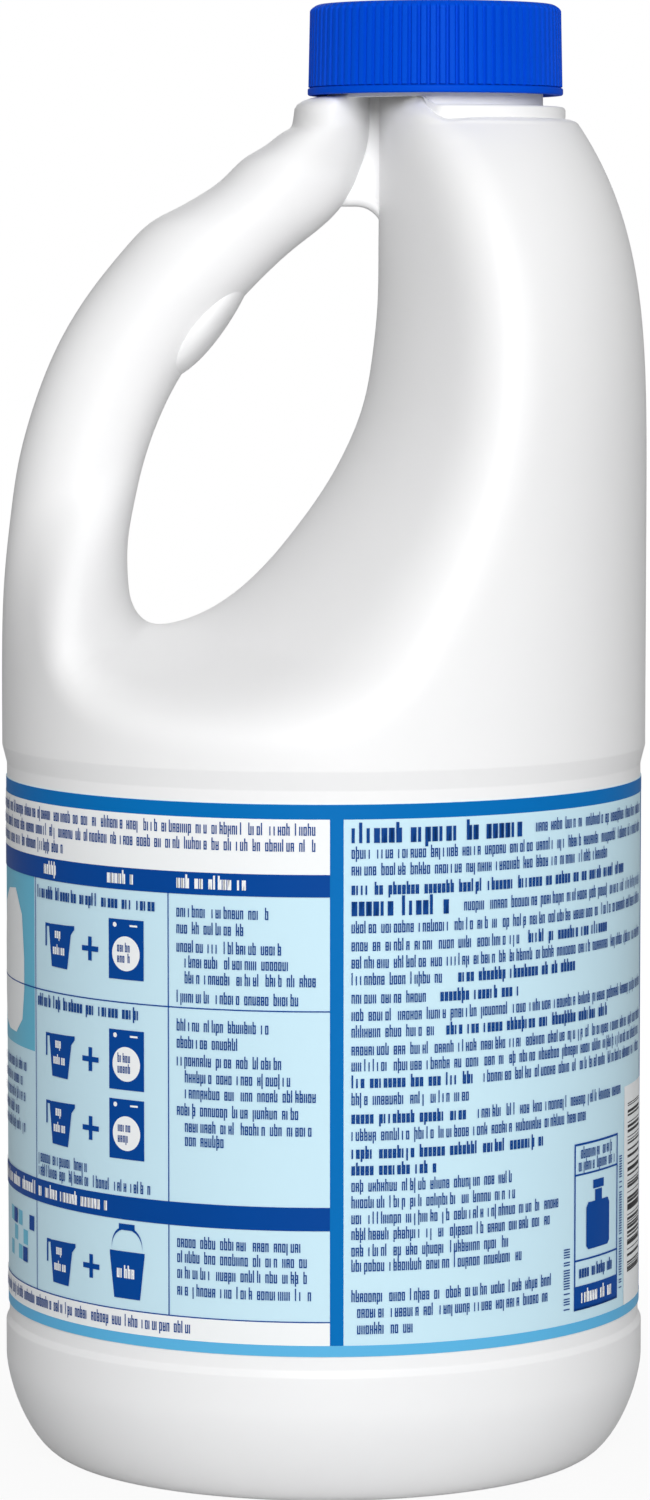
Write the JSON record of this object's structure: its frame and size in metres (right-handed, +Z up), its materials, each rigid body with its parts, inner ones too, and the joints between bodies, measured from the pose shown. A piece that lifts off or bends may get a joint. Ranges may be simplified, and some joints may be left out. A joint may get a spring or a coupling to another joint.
{
  "type": "bleach bottle",
  "caption": "Round white household bottle with a built-in hollow grip handle, an offset threaded neck, a ribbed blue screw cap with a sealing liner, and a printed film label.",
  "frame": {"origin": "middle of the base, on the surface that the bottle stands on", "axes": "+Z up along the round body, +X away from the handle, towards the side where the neck stands; Y across the mould's parting plane"},
  "size_m": [0.1052, 0.1052, 0.236],
  "materials": {
    "white_plastic": "glossy blow-moulded polyethylene",
    "blue_plastic": "satin injection-moulded polypropylene",
    "liner_foam": "pale closed-cell foam",
    "label_film": "printed glossy film"
  },
  "bodies": {
    "bottle": {"bottle_body": "white_plastic", "bottle_shoulder": "white_plastic", "bottle_handle": "white_plastic", "bottle_neck": "white_plastic", "label": "label_film"},
    "cap_lifter": {"cap_liner": "liner_foam"},
    "cap": {"cap": "blue_plastic"}
  },
  "joints": [
    {"name": "cap_lift", "type": "slide", "parent": "bottle", "child": "cap_lifter", "axis": [0, 0, 1], "range_m": [0, 0.0128]},
    {"name": "cap_turn", "type": "hinge", "parent": "cap_lifter", "child": "cap", "pos_m": [0.0181, 0, 0.23], "axis": [0, 0, 1], "range_deg": [0, 1080]}
  ],
  "couplings": [
    {"joint": "cap_lift", "follows": "cap_turn", "m_per_rad": 0.0006737}
  ]
}
